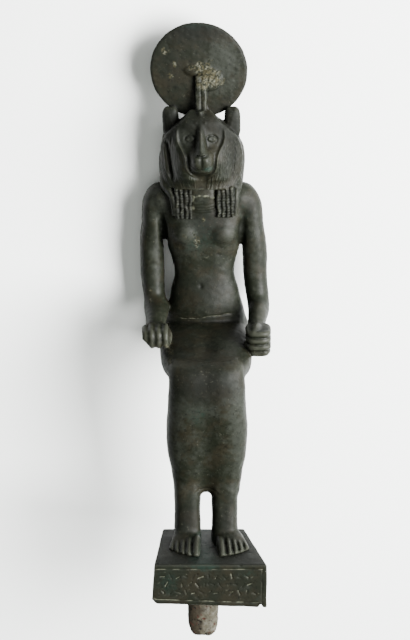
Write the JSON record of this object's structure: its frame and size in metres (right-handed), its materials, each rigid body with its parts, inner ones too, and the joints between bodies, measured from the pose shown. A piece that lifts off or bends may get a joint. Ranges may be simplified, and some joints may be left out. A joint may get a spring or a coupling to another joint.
{
  "type": "seated lioness goddess statuette",
  "caption": "Seated lioness-headed goddess cast in bronze, with a sun disk, a braided wig, an inscribed plinth and a tang for a stand",
  "frame": {"origin": "under the middle of the casting's box, on the surface that it lies on", "axes": "+Y from the tang to the sun disk, +Z out of the chest, away from the surface that the back lies on, +X to the viewer's right"},
  "size_m": [0.0514, 0.2388, 0.0742],
  "materials": {
    "bronze": "dark olive-brown patinated bronze with green patches, worn and pitted"
  },
  "bodies": {
    "root": {"statue": "bronze"}
  },
  "joints": []
}
